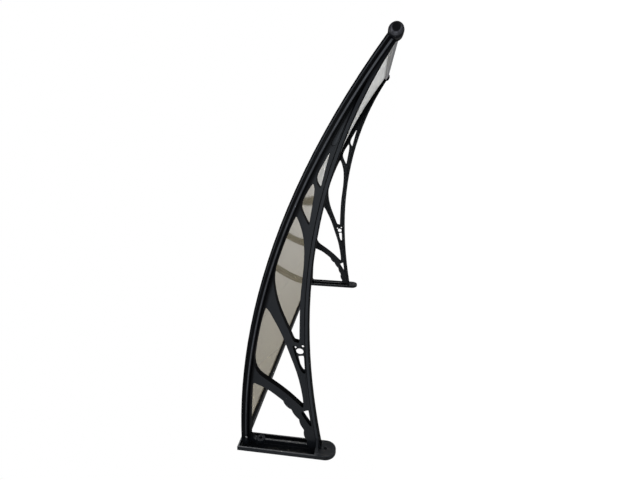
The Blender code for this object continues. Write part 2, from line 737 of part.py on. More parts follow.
def build_sheet(parts, clear):
    half_width = PITCH / 2 - GAP
    sheet = outline_solid(
        "polycarbonate_sheet",
        [arc_band(SHEET_REAR, SHEET_FRONT, -SHEET_TOP, SHEET_TOP)],
        -half_width,
        half_width,
    )
    add_to(parts, sheet, clear)
    soften_shading(sheet)


def build_front_bar(parts, aluminium):
    bar = outline_solid("front_bar", [bar_outline()], -PITCH / 2, PITCH / 2)
    holes = new_collection("Canopy bar cutters")
    y, z = on_arc(TIP_STATION, TIP_HEIGHT)
    depth = BAR_SCREW_GRIP + GAP
    for side in (-1, 1):
        hole = turned(f"bar_hole_{side}", cylinder_profile(SCREW_CLEARANCE, depth, -depth))
        hole.matrix_world = sideways_at(side * PITCH / 2, y, z)
        add_to(holes, hole)
    boolean(bar, "DIFFERENCE", holes)
    add_to(parts, bar, aluminium)


def build_bar_screws(parts, steel):
    length = EAR_OUTER + BAR_SCREW_GRIP
    profile = screw_profile(length, SCREW_RADIUS, SCREW_HEAD_RADIUS, SCREW_HEAD_HEIGHT)
    screw = turned("bar_screw", profile)
    y, z = on_arc(TIP_STATION, TIP_HEIGHT)
    screw.matrix_world = sideways_at(BRACKET_X - EAR_OUTER - GAP, y, z)
    both_sides(parts, "bar_screw", screw, steel)


def build_tip_caps(parts, black):
    """Domed cup, open towards the bracket, pushed over the tip's boss."""
    inner = TIP_RADIUS - CAP_WALL
    roof = CAP_SKIRT + CAP_DOME - CAP_WALL
    quarter = [math.pi / 2 * step / 4 for step in range(5)]
    shoulder = TIP_RADIUS - CAP_FACE_RADIUS
    dome = [
        (CAP_FACE_RADIUS + shoulder * math.sin(turn), CAP_SKIRT + CAP_DOME * math.cos(turn))
        for turn in quarter
    ]
    profile = [(0, CAP_SKIRT + CAP_DOME)] + dome + [(TIP_RADIUS, 0), (inner, 0)]
    profile += [(inner, CAP_SKIRT), (CAP_FACE_RADIUS + CAP_WALL, roof), (0, roof)]
    cap = turned("tip_cap_left", profile, ROUND_STEPS)
    y, z = on_arc(TIP_STATION, TIP_HEIGHT)
    cap.matrix_world = sideways_at(BRACKET_X - EAR_OUTER - GAP, y, z)
    both_sides(parts, "tip_cap", cap, black)


def rail_screw_place():
    """(y, z) of the screw through the chord into the rear rail's end lug."""
    return on_arc(RAIL_BACK + RAIL_SCREW_PLACE, LEDGE - RAIL_SCREW_DROP)


def build_rear_rail(parts, black):
    """Rail around the sheet's rear edge, with a lug under each end for its screw."""
    back, front = RAIL_BACK, RAIL_BACK + RAIL_WIDTH
    half = RAIL_THICKNESS / 2
    slot = SHEET_TOP + GAP
    slot_end = front - RAIL_SLOT_DEPTH
    groove = SEAL_LIP / 2 + GAP
    groove_end = back + RAIL_GROOVE_DEPTH
    corners = [
        (back, half), (front, half), (front, slot), (slot_end, slot), (slot_end, -slot),
        (front, -slot), (front, -half), (back, -half), (back, -groove), (groove_end, -groove),
        (groove_end, groove), (back, groove),
    ]  # fmt: skip
    end = PITCH / 2 - CHORD_HALF_WIDTH - GAP
    rail = outline_solid("rear_rail", [[on_arc(*corner) for corner in corners]], -end, end)
    lugs = new_collection("Canopy rail lugs")
    holes = new_collection("Canopy rail cutters")
    y, z = rail_screw_place()
    lug_back = back + RAIL_SCREW_PLACE - RAIL_LUG_WIDTH / 2
    lug_front = lug_back + RAIL_LUG_WIDTH
    lug_top = -(half + slot) / 2
    corners = [
        (lug_back, lug_top), (lug_front, lug_top), (lug_front, CHORD_BOTTOM),
        (lug_back, CHORD_BOTTOM),
    ]  # fmt: skip
    lug = [on_arc(*corner) for corner in corners]
    depth = RAIL_SCREW_GRIP + GAP
    profile = cylinder_profile(RAIL_SCREW_CLEARANCE, depth, -depth)
    for side in (-1, 1):
        ends = sorted((side * end, side * (end - RAIL_LUG_LENGTH)))
        add_to(lugs, outline_solid(f"rail_lug_{side}", [lug], *ends))
        hole = turned(f"rail_hole_{side}", profile)
        hole.matrix_world = sideways_at(side * end, y, z)
        add_to(holes, hole)
    boolean(rail, "UNION", lugs)
    boolean(rail, "DIFFERENCE", holes)
    add_to(parts, rail, black)


def build_rail_screws(parts, steel):
    length = 2 * CHORD_HALF_WIDTH + BEAD_HEIGHT + RAIL_SCREW_GRIP
    profile = screw_profile(
        length, RAIL_SCREW_RADIUS, RAIL_SCREW_HEAD_RADIUS, RAIL_SCREW_HEAD_HEIGHT
    )
    screw = turned("rail_screw", profile)
    y, z = rail_screw_place()
    screw.matrix_world = sideways_at(BRACKET_X - CHORD_HALF_WIDTH - BEAD_HEIGHT - GAP, y, z)
    both_sides(parts, "rail_screw", screw, steel)


def build_wall_seal(parts, rubber):
    """Rubber lip from the rear rail's groove to a flat foot on the wall."""
    lip = SEAL_LIP / 2
    face = SEAL_FACE / 2
    tongue = RAIL_BACK + RAIL_GROOVE_DEPTH - GAP
    corners = [
        (0, -face), (0, face), (-SEAL_FOOT, lip), (-tongue, lip), (-tongue, -lip),
        (-SEAL_FOOT, -lip),
    ]  # fmt: skip
    end = PITCH / 2 - PLATE_INNER - GAP
    seal = outline_solid("wall_seal", [corners], -end, end)
    add_to(parts, seal, rubber)


def main():
    clear_scene()
    parts = new_collection("Polycarbonate canopy")
    black = principled("Black moulding", (0.022, 0.024, 0.028), 0.45)
    clear = principled("Clear polycarbonate", (0.86, 0.87, 0.86), 0.08, transmission=0.9)
    aluminium = principled("Satin aluminium", (0.55, 0.55, 0.56), 0.35, metallic=1.0)
    steel = principled("Zinc plated steel", (0.62, 0.62, 0.63), 0.3, metallic=1.0)
    rubber = principled("Black rubber", (0.015, 0.015, 0.015), 0.8)
    build_bracket(parts, black)
    build_cover_strips(parts, black)
    build_strip_screws(parts, steel)
    build_sheet(parts, clear)
    build_front_bar(parts, aluminium)
    build_bar_screws(parts, steel)
    build_tip_caps(parts, black)
    build_rear_rail(parts, black)
    build_rail_screws(parts, steel)
    build_wall_seal(parts, rubber)


main()
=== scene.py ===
# %% [markdown]
# A door canopy, dressed for its picture. A curved clear sheet is held between two black moulded
# brackets, with an aluminium bar along its front edge and a rail with a rubber seal along the
# wall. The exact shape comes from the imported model, and this file gives it rounded edges, finer
# curves and real finishes, with lamps and a camera. All lengths are in metres, +Z is up, the wall
# would be the plane y = 0, and the canopy reaches out to -Y.

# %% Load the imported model
import math

import bmesh
import bpy
from mathutils import Matrix, Vector


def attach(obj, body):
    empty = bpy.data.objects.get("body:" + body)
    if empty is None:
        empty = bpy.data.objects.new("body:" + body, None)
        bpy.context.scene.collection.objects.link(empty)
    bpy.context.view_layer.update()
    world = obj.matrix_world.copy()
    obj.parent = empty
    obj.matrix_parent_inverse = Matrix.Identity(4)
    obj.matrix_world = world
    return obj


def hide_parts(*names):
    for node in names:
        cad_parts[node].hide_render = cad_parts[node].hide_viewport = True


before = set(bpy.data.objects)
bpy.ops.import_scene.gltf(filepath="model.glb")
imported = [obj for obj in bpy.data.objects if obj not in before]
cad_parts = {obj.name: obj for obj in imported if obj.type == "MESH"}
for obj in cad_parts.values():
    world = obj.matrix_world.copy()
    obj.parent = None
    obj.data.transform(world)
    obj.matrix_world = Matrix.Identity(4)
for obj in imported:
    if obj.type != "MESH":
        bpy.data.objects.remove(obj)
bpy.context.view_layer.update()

# %% [markdown]
# The camera stands where the photographer stood: a little under the sheet, beside the left
# bracket, and turned on its side, so that the top of the picture looks out from the wall. Its
# place, its three axes and its focal length in pixels were worked out from the picture. A matrix
# takes the axes as its columns, and two of them are turned round, because a camera looks along
# its own -Z and has its Y upwards.

# %% Camera
camera_place = Vector((-1.0399, -0.6373, -0.2313))
image_right = Vector((0.13614855, -0.01107642, -0.99062651))
image_down = Vector((-0.29734249, 0.95337954, -0.05152576))
look = Vector((0.94501377, 0.30157051, 0.12650775))
focal_pixels, picture_width, sensor_width = 410.14, 640, 36
bpy.ops.object.camera_add(location=(0, 0, 0))
camera = bpy.context.object
camera.name = "picture_camera"
camera_axes = Matrix((image_right, -image_down, -look)).transposed()
camera.matrix_world = Matrix.Translation(camera_place) @ camera_axes.to_4x4()
camera.data.sensor_width = sensor_width
camera.data.lens = focal_pixels / picture_width * sensor_width
bpy.context.scene.camera = camera
print("Lens:", round(camera.data.lens, 2), "mm")

# %% [markdown]
# A plain studio. The world is soft and grey for the light that it gives, and plain white for
# what is seen straight on, in a reflection or through the sheet. Light Path tells these apart.

# %% World
given_strength, seen_strength = 0.45, 1.0
scene = bpy.context.scene
scene.view_settings.view_transform = "Standard"
world = bpy.data.worlds.new("Studio")
scene.world = world
world.use_nodes = True


def calculate(tree, operation, first, second=0.0):
    """One Math node, whose inputs may be numbers or sockets."""
    node = tree.nodes.new("ShaderNodeMath")
    node.operation = operation
    for socket, value in zip(node.inputs, (first, second)):
        if isinstance(value, (int, float)):
            socket.default_value = value
        else:
            tree.links.new(value, socket)
    return node.outputs[0]


def seen_directly(tree):
    """1 for rays that show the background: from the camera, off a gloss or through the sheet."""
    path = tree.nodes.new("ShaderNodeLightPath")
    seen = path.outputs["Is Camera Ray"]
    for name in ("Is Glossy Ray", "Is Transmission Ray"):
        seen = calculate(tree, "MAXIMUM", seen, path.outputs[name])
    return seen


def plain_white(tree, strength):
    """A white background of a given strength."""
    node = tree.nodes.new("ShaderNodeBackground")
    node.inputs["Color"].default_value = (1, 1, 1, 1)
    node.inputs["Strength"].default_value = strength
    return node.outputs[0]


tree = world.node_tree
tree.nodes.clear()
mix = tree.nodes.new("ShaderNodeMixShader")
out = tree.nodes.new("ShaderNodeOutputWorld")
tree.links.new(seen_directly(tree), mix.inputs["Fac"])
tree.links.new(plain_white(tree, given_strength), mix.inputs[1])
tree.links.new(plain_white(tree, seen_strength), mix.inputs[2])
tree.links.new(mix.outputs[0], out.inputs["Surface"])
print("World strength for light:", given_strength, "and as it is seen:", seen_strength)

# %% [markdown]
# Black plastic shows its shape by the thin lines of light on its rounded edges. Lamps of about
# half a metre keep those lines narrow and bright, where bigger ones would spread them to a grey
# veil. Each lamp has its own edges to draw: the overhead and upper left ones the long edges of the
# chord, the front one the rims of the wall plates, and the back one the domes of the caps. The two
# side lamps are low strips, like windows, whose slightly blue light gives the flat webs a broad,
# faint sheen, the rear one where the webs come near the wall.

# %% Lamps
lamp_aim = Vector((0, -0.35, -0.1))
sky = (0.86, 0.93, 1.0)


def soft_lamp(name, place, wide, tall, power, colour=(1, 1, 1)):
    """A rectangular lamp that points at the middle of the canopy."""
    bpy.ops.object.light_add(type="AREA", location=place)
    lamp = bpy.context.object
    lamp.name = name
    lamp.data.shape = "RECTANGLE"
    lamp.data.size = wide
    lamp.data.size_y = tall
    lamp.data.energy = power
    lamp.data.color = colour
    direction = lamp_aim - Vector(place)
    lamp.rotation_euler = direction.to_track_quat("-Z", "Y").to_euler()
    print(name, "at", place, "with", power, "W")


soft_lamp("overhead_lamp", (-0.5, -0.5, 2.2), wide=0.4, tall=0.4, power=16)
soft_lamp("upper_left_lamp", (-2.0, -0.6, 1.4), wide=0.4, tall=0.4, power=16)
soft_lamp("front_right_lamp", (2.0, -2.2, 0.3), wide=0.6, tall=0.6, power=16)
soft_lamp("back_left_lamp", (-1.6, 2.0, -0.1), wide=0.5, tall=0.5, power=10)
soft_lamp("side_lamp", (-2.1, -0.12, -0.05), wide=1.0, tall=0.5, power=8.2, colour=sky)
soft_lamp("rear_side_lamp", (-2.1, 1.0, 0.3), wide=1.25, tall=0.5, power=6, colour=sky)

# %% [markdown]
# The floor is pale and lies well below the canopy, which hangs on no wall here. Most of what the
# camera sees of it is its own white, and a part is what the lamps give it, which keeps the
# object's shadow.

# %% Floor
floor_size, floor_height = 30, -0.9
floor_grey, own_white = 0.9, 0.6
bpy.ops.mesh.primitive_plane_add(size=floor_size, location=(0, 0, floor_height))
floor = bpy.context.object
floor.name = "floor"
paint = bpy.data.materials.new("Pale floor")
paint.use_nodes = True
tree = paint.node_tree
tree.nodes.clear()
matt = tree.nodes.new("ShaderNodeBsdfDiffuse")
matt.inputs["Color"].default_value = (floor_grey, floor_grey, floor_grey, 1)
glow = tree.nodes.new("ShaderNodeEmission")
glow_strength = calculate(tree, "MULTIPLY", seen_directly(tree), own_white)
tree.links.new(glow_strength, glow.inputs["Strength"])
both = tree.nodes.new("ShaderNodeAddShader")
tree.links.new(matt.outputs[0], both.inputs[0])
tree.links.new(glow.outputs[0], both.inputs[1])
out = tree.nodes.new("ShaderNodeOutputMaterial")
tree.links.new(both.outputs[0], out.inputs["Surface"])
floor.data.materials.append(paint)
print("Floor at z =", floor.location.z)

# %% [markdown]
# Finishes share a few effects, so each is a node group that is built once. The first is the
# grain of a moulding: the fine texture that a spark-eroded mould leaves, with slow flow marks
# under it. It works on Object coordinates, in metres, so that the grain has its real size
# everywhere.

# %% Node group: moulded grain
usual_noise = (0.3, 0.7)  # nearly all of a noise texture lies between these


def new_group(name, inputs, outputs):
    """An empty shader group, with the sockets that its nodes start from and end in."""
    group = bpy.data.node_groups.new(name, "ShaderNodeTree")
    for label, value in inputs.items():
        socket = group.interface.new_socket(label, in_out="INPUT", socket_type="NodeSocketFloat")
        socket.default_value = value
    for label in outputs:
        group.interface.new_socket(label, in_out="OUTPUT", socket_type="NodeSocketFloat")
    start = group.nodes.new("NodeGroupInput")
    end = group.nodes.new("NodeGroupOutput")
    return group, start.outputs, end.inputs


def noise(tree, scale, detail=2.0, roughness=0.5, stretch=None):
    """A noise texture on Object coordinates, stretched by a Mapping node if asked."""
    place = tree.nodes.new("ShaderNodeTexCoord")
    texture = tree.nodes.new("ShaderNodeTexNoise")
    texture.inputs["Detail"].default_value = detail
    texture.inputs["Roughness"].default_value = roughness
    source = place.outputs["Object"]
    if stretch:
        mapping = tree.nodes.new("ShaderNodeMapping")
        mapping.inputs["Scale"].default_value = stretch
        tree.links.new(source, mapping.inputs["Vector"])
        source = mapping.outputs["Vector"]
    tree.links.new(source, texture.inputs["Vector"])
    if isinstance(scale, (int, float)):
        texture.inputs["Scale"].default_value = scale
    else:
        tree.links.new(scale, texture.inputs["Scale"])
    return texture.outputs["Fac"]


grain, start, end = new_group(
    "Moulded grain", {"Grain scale": 1600.0, "Flow scale": 14.0}, ("Height", "Flow")
)
fine = noise(grain, start["Grain scale"], detail=3.0, roughness=0.6)
grain.links.new(fine, end["Height"])
grain.links.new(noise(grain, start["Flow scale"]), end["Flow"])
print("Group:", grain.name)

# %% [markdown]
# The second effect is dust. It settles on faces that look up, and it is patchy, so the mask is
# the face's upward tilt times a broken-up noise. Faces that look another way keep a little of it.

# %% Node group: dust
patch_noise = (0.42, 0.72)
dust_by_tilt = (0.2, 1.0), (0.15, 1.0)  # from a wall to a level top


def mapped(tree, source, span, result=(0.0, 1.0)):
    """A Map Range from one span of values to another."""
    node = tree.nodes.new("ShaderNodeMapRange")
    tree.links.new(source, node.inputs["Value"])
    labels = ("From Min", "From Max", "To Min", "To Max")
    for label, value in zip(labels, (*span, *result)):
        node.inputs[label].default_value = value
    return node.outputs["Result"]


def multiplied(tree, first, *others):
    """The product of masks and numbers."""
    for other in others:
        first = calculate(tree, "MULTIPLY", first, other)
    return first


def three_parts(tree, kind, output):
    """The X, Y and Z of what a new node puts out."""
    node = tree.nodes.new(kind)
    parts = tree.nodes.new("ShaderNodeSeparateXYZ")
    tree.links.new(node.outputs[output], parts.inputs[0])
    return parts.outputs


dust, start, end = new_group("Settled dust", {"Amount": 0.3, "Patch scale": 60.0}, ("Mask",))
patches = noise(dust, start["Patch scale"], detail=6.0, roughness=0.7)
patchy = mapped(dust, patches, patch_noise)
faces = three_parts(dust, "ShaderNodeNewGeometry", "Normal")
upward = mapped(dust, faces["Z"], *dust_by_tilt)
dust.links.new(multiplied(dust, patchy, upward, start["Amount"]), end["Mask"])
print("Group:", dust.name)

# %% [markdown]
# The third is the brushed or drawn look of metal: very long, thin noise along the X axis.

# %% Node group: drawn lines
squeeze_x = 0.006  # a noise that is sampled this slowly along X is drawn out to lines
drawn, start, end = new_group("Drawn lines", {"Line scale": 900.0}, ("Lines",))
lines = noise(drawn, start["Line scale"], detail=4.0, roughness=0.65, stretch=(squeeze_x, 1, 1))
drawn.links.new(lines, end["Lines"])
print("Group:", drawn.name)

# %% [markdown]
# The fourth tells the brackets' places apart, so that light and shade can be painted on them:
# painted highlights on the bead, the seam and the wall plate, painted shade on the chord's sides,
# edges and corners, and a painted sheen on the sunk panel. The raised band along the underside is
# made a little greyer. The masks could be painted on the mesh, but masks by place need no
# painting, and every bracket and strip gets the same ones. A place is known by its distance from
# the middle, its height above the curve of the sheet, its distance from the wall and the way that
# it faces.

# %% Node group: places on a bracket
arc_radius = 1.2445
plate_edge = (-0.018, -0.014)  # along Y, from the web to the wall plate


def distance(tree, first, second):
    """The length of the long side over two sides at a right angle."""
    squares = [calculate(tree, "MULTIPLY", side, side) for side in (first, second)]
    return calculate(tree, "SQRT", calculate(tree, "ADD", *squares))


def within(tree, source, span, soft):
    """1 between two values, falling to 0 over a soft distance outside them."""
    low, high = span
    rise = mapped(tree, source, (low - soft, low))
    fall = mapped(tree, source, (high, high + soft), (1.0, 0.0))
    return calculate(tree, "MULTIPLY", rise, fall)


# Its outputs are masks for painted highlights, painted shade, a painted sheen and a greyer band.
places, start, end = new_group(
    "Bracket places",
    {"Arc radius": arc_radius},
    ("Painted highlight", "Painted rim highlight", "Painted side shade", "Panel", "Underside", "Edges"),
)
axes = three_parts(places, "ShaderNodeTexCoord", "Object")
faces = three_parts(places, "ShaderNodeNewGeometry", "Normal")
aside = calculate(places, "ABSOLUTE", axes["X"])
above_centre = calculate(places, "ADD", axes["Z"], start["Arc radius"])
radius = distance(places, above_centre, axes["Y"])
height = calculate(places, "SUBTRACT", radius, start["Arc radius"])
off_wall = mapped(places, axes["Y"], plate_edge, (1.0, 0.0))
print("Group:", places.name)

# %% [markdown]
# The raised bead and the lower edge of the cover strip, the seam, get a painted highlight: a paler
# colour in place of the thin lines of light on them. Both lines are palest near the tip and fade
# towards the wall. The wall plate's outward faces get a painted highlight too, and its rims and
# rib most of all.

# %% Painted highlights
onto_chord = (0.4078, 0.4084)  # from the middle
bead_line = (-0.0060, -0.0038), 0.0006  # heights above the curve, and how softly they end
seam_line = (0.0014, 0.0026), 0.0005
bead_fade = (-0.15, -0.02), (1.0, 0.35)  # places along Y, and what is left of the mask there
seam_fade = (-0.42, -0.22), (1.0, 0.05)
tip_fade = (-0.66, -0.50), (1.0, 0.66)
plate_front, rim_front = ((-0.0145, -0.0087), 0.0003), (-0.0135, -0.0128)  # along Y
pad_end = (-0.150, -0.136)  # along Z, from the plate's lower pad to its rims
facing_out = (-0.8, -0.5), (1.0, 0.0)
plate_highlight, highlight_break_scale, least_highlight = 0.41, 45.0, 0.65
chord_side = multiplied(places, mapped(places, aside, onto_chord), off_wall)
bead_left = mapped(places, axes["Y"], *bead_fade)
bead = multiplied(places, within(places, height, *bead_line), chord_side, bead_left)
seam_left = mapped(places, axes["Y"], *seam_fade)
seam = multiplied(places, within(places, height, *seam_line), chord_side, seam_left)
lines_left = mapped(places, axes["Y"], *tip_fade)
painted_highlight = multiplied(places, calculate(places, "MAXIMUM", bead, seam), lines_left)
outward = mapped(places, faces["Y"], *facing_out)
plate_face = multiplied(places, within(places, axes["Y"], *plate_front), outward)
painted_highlight = calculate(places, "MAXIMUM", painted_highlight, multiplied(places, plate_face, plate_highlight))
above_pad = mapped(places, axes["Z"], pad_end)
rim_highlight = multiplied(places, plate_face, above_pad, mapped(places, axes["Y"], rim_front))
# A noise breaks up the painted highlights.
uneven = mapped(places, noise(places, highlight_break_scale, detail=3.0), usual_noise, (least_highlight, 1.0))
for label, mask in (("Painted rim highlight", rim_highlight), ("Painted highlight", painted_highlight)):
    places.links.new(multiplied(places, mask, uneven), end[label])
print("Rubbed places: bead, seam, plate and rims")

# %% [markdown]
# The chord's side gets a painted shade, a darker colour and a thinner coat, and the wall plate's
# sides get less of it. The sunk panel near the tip gets a painted sheen, palest at its front, and
# the raised band along the underside is a little grey.

# %% Painted side shade, painted panel sheen and the grey band
flat_faces = (0.80, 0.98)  # how far a face looks sideways, from rounded to flat
plate_side_shade = 0.4
panel_depth, onto_band = ((0.4034, 0.4042), 0.0003), (0.4063, 0.4068)  # from the middle
panel_fade = (-0.610, -0.587), (1.0, 0.4)  # along Y
chord_foot = (-0.013, -0.011)  # heights above the curve
sideways_look = calculate(places, "ABSOLUTE", faces["X"])
on_plate = mapped(places, axes["Y"], plate_edge, (0.0, plate_side_shade))
plate_side = multiplied(places, on_plate, mapped(places, sideways_look, flat_faces))
places.links.new(calculate(places, "MAXIMUM", chord_side, plate_side), end["Painted side shade"])
panel_left = mapped(places, axes["Y"], *panel_fade)
panel = multiplied(places, within(places, aside, *panel_depth), panel_left)
places.links.new(panel, end["Panel"])
below_chord = mapped(places, height, chord_foot, (1.0, 0.0))
band = multiplied(places, mapped(places, aside, onto_band), below_chord, off_wall)
places.links.new(band, end["Underside"])
print("Polished and grey places: chord, plate's sides, panel and underside")

# %% [markdown]
# The darkest places get a painted shade: the edges round the openings and the corner between web
# and chord, where hardly any light gets in, and the web near the wall. A face is on an edge when
# it doesn't look sideways. The slope at the sunk panel's rear end doesn't either, but it is no
# edge, so it is taken out.

# %% Dark places: painted shade
off_web = (0.4063, 0.4075)  # from the middle
panel_slope = (-0.592, -0.580), 0.004  # along Y
corner_heights = (-0.016, -0.011)
wall_shade = (-0.30, -0.12), (0.0, 0.35)  # along Y
web_depth = mapped(places, aside, off_web, (1.0, 0.0))
slope = multiplied(places, within(places, axes["Y"], *panel_slope), web_depth)
edges = mapped(places, sideways_look, flat_faces, (1.0, 0.0))
edges = multiplied(places, edges, calculate(places, "SUBTRACT", 1.0, slope))
corner = mapped(places, height, corner_heights)
near_wall = mapped(places, axes["Y"], *wall_shade)
shaded = multiplied(places, calculate(places, "MAXIMUM", corner, near_wall), web_depth)
darkest = multiplied(places, calculate(places, "MAXIMUM", edges, shaded), off_wall)
places.links.new(darkest, end["Edges"])
print("Places told apart:", ", ".join(socket.name for socket in end if socket.is_linked))

# %% [markdown]
# The fifth is a painted highlight on the shoulder of a tip cap: a ring of paler colour round the
# dome, with a wider, fainter one about it, in place of the light that the rounded shoulder
# catches.
# Their middle is a little off the dome's own. They are palest on the side towards the wall, and
# fade away in front.

# %% Node group: painted highlight on a tip cap
ring_line = (0.0064, 0.0074), 0.0011  # distances from their middle, and how softly they end
halo_line, halo_share = ((0.0068, 0.0104), 0.0010), 0.5
front_fade = (-0.006, 0.003), (0.1, 1.0)  # along Y
break_scale, breaks = 260.0, ((0.35, 0.65), (0.45, 1.0))
cap_highlight, start, end = new_group(
    "Painted cap highlight", {"Middle y": -0.7454, "Middle z": -0.2486}, ("Painted dome highlight",)
)
axes = three_parts(cap_highlight, "ShaderNodeTexCoord", "Object")
along_y = calculate(cap_highlight, "SUBTRACT", axes["Y"], start["Middle y"])
along_z = calculate(cap_highlight, "SUBTRACT", axes["Z"], start["Middle z"])
away = distance(cap_highlight, along_y, along_z)
ring = within(cap_highlight, away, *ring_line)
halo = multiplied(cap_highlight, within(cap_highlight, away, *halo_line), halo_share)
to_wall = mapped(cap_highlight, along_y, *front_fade)
broken = mapped(cap_highlight, noise(cap_highlight, break_scale), *breaks)
dome_highlight = multiplied(cap_highlight, calculate(cap_highlight, "MAXIMUM", ring, halo), to_wall, broken)
cap_highlight.links.new(dome_highlight, end["Painted dome highlight"])
print("Group:", cap_highlight.name)

# %% [markdown]
# Every finish starts from one Principled shader. What is the same all over is set on its own
# sockets, and only what changes over the surface comes through nodes.

# %% A new finish


def new_finish(name, **fixed):
    """A material, with its node tree and its Principled shader, whose fixed sockets are set."""
    material = bpy.data.materials.new(name)
    material.use_nodes = True
    tree = material.node_tree
    shader = tree.nodes["Principled BSDF"]
    for label, value in fixed.items():
        shader.inputs[label.replace("_", " ")].default_value = value
    return material, tree, shader


def place_group(tree, group, **values):
    """Put a node group in a material, with its own values, and give its outputs."""
    node = tree.nodes.new("ShaderNodeGroup")
    node.node_tree = group
    for label, value in values.items():
        node.inputs[label.replace("_", " ")].default_value = value
    return node.outputs


def blended(tree, factor, first, second):
    """A mix of two colours, each a tuple or a socket, by a factor."""
    node = tree.nodes.new("ShaderNodeMix")
    node.data_type = "RGBA"
    tree.links.new(factor, node.inputs["Factor"])
    for socket, value in ((node.inputs[6], first), (node.inputs[7], second)):
        if isinstance(value, tuple):
            socket.default_value = (*value, 1.0)
        else:
            tree.links.new(value, socket)
    return node.outputs[2]


def bumped(tree, shader, height, strength, distance):
    """Let a height tilt the shader's normal."""
    node = tree.nodes.new("ShaderNodeBump")
    node.inputs["Strength"].default_value = strength
    node.inputs["Distance"].default_value = distance
    tree.links.new(height, node.inputs["Height"])
    tree.links.new(node.outputs["Normal"], shader.inputs["Normal"])


print("Finishes are ready to be made")

# %% [markdown]
# The mouldings are black ABS: nearly black with a cool tinge, a satin skin, flow marks that
# change the gloss a little, and a trace of dust. The gloss is a thin Coat, because its weight
# scales the whole reflection, also at grazing angles, so the walls inside the openings stay black.
# Places with painted shade keep about a third of the coat. The caps and the rail get the same
# finish with other values.

# %% Black moulding
plastic_dust = (0.05, 0.05, 0.05)
flow_brightness, dust_roughness, plastic_bump = 1.35, 0.4, 0.25
coat_by_flow, thin_coat = (1.2, 0.8), (1.0, 0.3)


def black_plastic(name, colour, skin, gloss, dustiness, grain_depth, marks=None, shades=()):
    """Skin is the coat's weight, gloss the span of its roughness, shades the marks' colours."""
    material, tree, shader = new_finish(name, Specular_IOR_Level=0.0, Coat_IOR=1.5)
    shader.inputs["Coat Roughness"].default_value = sum(gloss) / 2
    surface = place_group(tree, grain)
    film = place_group(tree, dust, Amount=dustiness)["Mask"]
    lighter = tuple(flow_brightness * part for part in colour)
    plastic = blended(tree, surface["Flow"], colour, lighter)
    coats = [share * skin for share in coat_by_flow]
    coat = mapped(tree, surface["Flow"], usual_noise, coats)
    place = place_group(tree, marks) if marks else None
    # Each mark paints its own colour: painted highlights, shade and sheen, or the greyer band.
    for label, shade in shades:
        plastic = blended(tree, place[label], plastic, shade)
        # Painted shade also thins the coat, which darkens the reflection.
        if label in ("Painted side shade", "Edges"):
            thinner = mapped(tree, place[label], (0.0, 1.0), thin_coat)
            coat = multiplied(tree, coat, thinner)
    tree.links.new(blended(tree, film, plastic, plastic_dust), shader.inputs["Base Color"])
    roughness = mapped(tree, surface["Flow"], usual_noise, gloss)
    dull = multiplied(tree, film, dust_roughness)
    tree.links.new(calculate(tree, "ADD", roughness, dull), shader.inputs["Roughness"])
    tree.links.new(coat, shader.inputs["Coat Weight"])
    bumped(tree, shader, surface["Height"], plastic_bump, grain_depth)
    print("Finish:", material.name)
    return material


moulding = black_plastic(
    "Black moulding",
    colour=(0.0050, 0.0058, 0.0072),
    skin=0.12,
    gloss=(0.19, 0.25),
    dustiness=0.08,
    grain_depth=0.00005,
    marks=places,
    # Painted shade on the sides and edges, a painted panel sheen, the grey band, painted
    # highlights.
    shades=(
        ("Painted side shade", (0.0012, 0.0013, 0.0016)),
        ("Panel", (0.030, 0.033, 0.037)),
        ("Underside", (0.0115, 0.0128, 0.0150)),
        ("Edges", (0.0008, 0.0009, 0.0012)),
        ("Painted highlight", (0.073, 0.076, 0.084)),
        ("Painted rim highlight", (0.150, 0.152, 0.158)),
    ),
)
smooth_cap = black_plastic(
    "Black cap",
    colour=(0.0010, 0.0012, 0.0020),
    skin=0.12,
    gloss=(0.20, 0.28),
    dustiness=0.05,
    grain_depth=0.00002,
    marks=cap_highlight,
    # A painted highlight on the dome's shoulder.
    shades=(("Painted dome highlight", (0.070, 0.070, 0.080)),),
)
black_rail = black_plastic(
    "Black rail",
    colour=(0.0020, 0.0022, 0.0026),
    skin=0.035,
    gloss=(0.34, 0.44),
    dustiness=0.05,
    grain_depth=0.00002,
)

# %% [markdown]
# The sheet is clear polycarbonate with a faint bronze tinge, and its colour follows Layer Weight.
# Seen steeply it is nearly clear. Seen slanting it turns tan, partly from the longer path through
# the tinge and partly as a painted reflection of a tan floor. Seen almost edge on it is nearly
# white, a painted reflection of the bright room, and slightly hazy.

# %% Clear sheet
steep_tint, slanting_tint_and_reflection = (0.82, 0.81, 0.79), (0.235, 0.205, 0.140)
edge_on_reflection, edge_on_haze = (0.97, 0.99, 1.0), 0.4
slanting_view, edge_on_view = (0.3, 0.75), (0.930, 0.946)  # values of Facing
shine_fade = (0.55, 0.78), (0.5, 0.04)
wipe_marks = (0.3, 0.8), (0.02, 0.10)
clear, tree, shader = new_finish(
    "Clear polycarbonate",
    IOR=1.12,
    Transmission_Weight=0.5,
    Specular_IOR_Level=0.0,
    Coat_Roughness=0.08,
    Coat_IOR=1.5,
)
layer = tree.nodes.new("ShaderNodeLayerWeight")
layer.inputs["Blend"].default_value = 0.5
facing = layer.outputs["Facing"]
edge_on = mapped(tree, facing, edge_on_view)
# Slanting the tan is partly a painted reflection, and edge on the white is a painted reflection.
tint = blended(tree, mapped(tree, facing, slanting_view), steep_tint, slanting_tint_and_reflection)
tint = blended(tree, edge_on, tint, edge_on_reflection)
tree.links.new(tint, shader.inputs["Base Color"])
tree.links.new(mapped(tree, facing, *shine_fade), shader.inputs["Coat Weight"])
wipes = mapped(tree, noise(tree, 35.0, detail=5.0, roughness=0.6), *wipe_marks)
haze = multiplied(tree, edge_on, edge_on_haze)
tree.links.new(calculate(tree, "MAXIMUM", wipes, haze), shader.inputs["Roughness"])
print("Finish:", clear.name)

